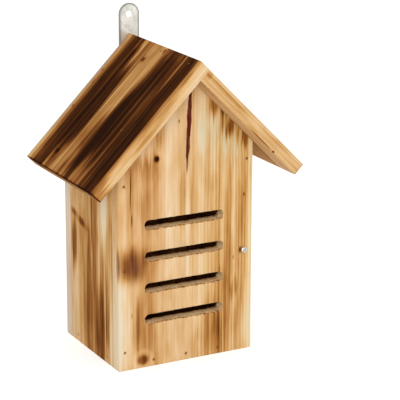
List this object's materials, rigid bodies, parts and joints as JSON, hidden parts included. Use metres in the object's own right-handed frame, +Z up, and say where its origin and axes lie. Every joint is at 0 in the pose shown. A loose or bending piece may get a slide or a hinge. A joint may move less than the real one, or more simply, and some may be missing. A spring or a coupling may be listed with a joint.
{
  "type": "ladybird house",
  "caption": "Gabled wooden insect house of nailed planed boards, with a slotted front panel, a top-hung side door with a lock screw, an overhanging roof and a steel hanger strip.",
  "frame": {"origin": "on the ground under the middle of the body, at the centre of the flat underside", "axes": "+X to the right seen from the front, towards the side door; +Y to the back, towards the hanger; +Z up"},
  "size_m": [0.205, 0.1404, 0.3035],
  "materials": {
    "body_fir": "flame-scorched and brushed, unvarnished",
    "roof_fir": "deeply flame-scorched and brushed, unvarnished",
    "galvanised_steel": "galvanised, dull",
    "zinc_screw_steel": "bright zinc plated",
    "nail_steel": "bright drawn wire, dulled"
  },
  "bodies": {
    "house": {"front_panel": "body_fir", "back_panel": "body_fir", "left_wall": "body_fir", "floor_board": "body_fir", "roof_board_left": "roof_fir", "roof_board_right": "roof_fir", "hanger_plate": "galvanised_steel", "hanger_screws": "zinc_screw_steel", "pivot_nail_front": "nail_steel", "pivot_nail_back": "nail_steel", "front_wall_nails": "nail_steel", "front_floor_nails": "nail_steel", "back_wall_nails": "nail_steel", "back_floor_nails": "nail_steel", "side_floor_nails": "nail_steel", "ridge_nails": "nail_steel", "roof_left_nails": "nail_steel", "roof_right_nails": "nail_steel"},
    "side_door": {"side_door": "body_fir"},
    "lock_screw": {"lock_screw": "zinc_screw_steel"}
  },
  "joints": [
    {"name": "door_swing", "type": "hinge", "parent": "house", "child": "side_door", "pos_m": [0.06, 0, 0.1784], "axis": [0, -1, 0], "range_deg": [0, 58]},
    {"name": "lock_screw_draw", "type": "slide", "parent": "house", "child": "lock_screw", "axis": [0, -1, 0], "range_m": [-0.0014, 0.01]}
  ]
}
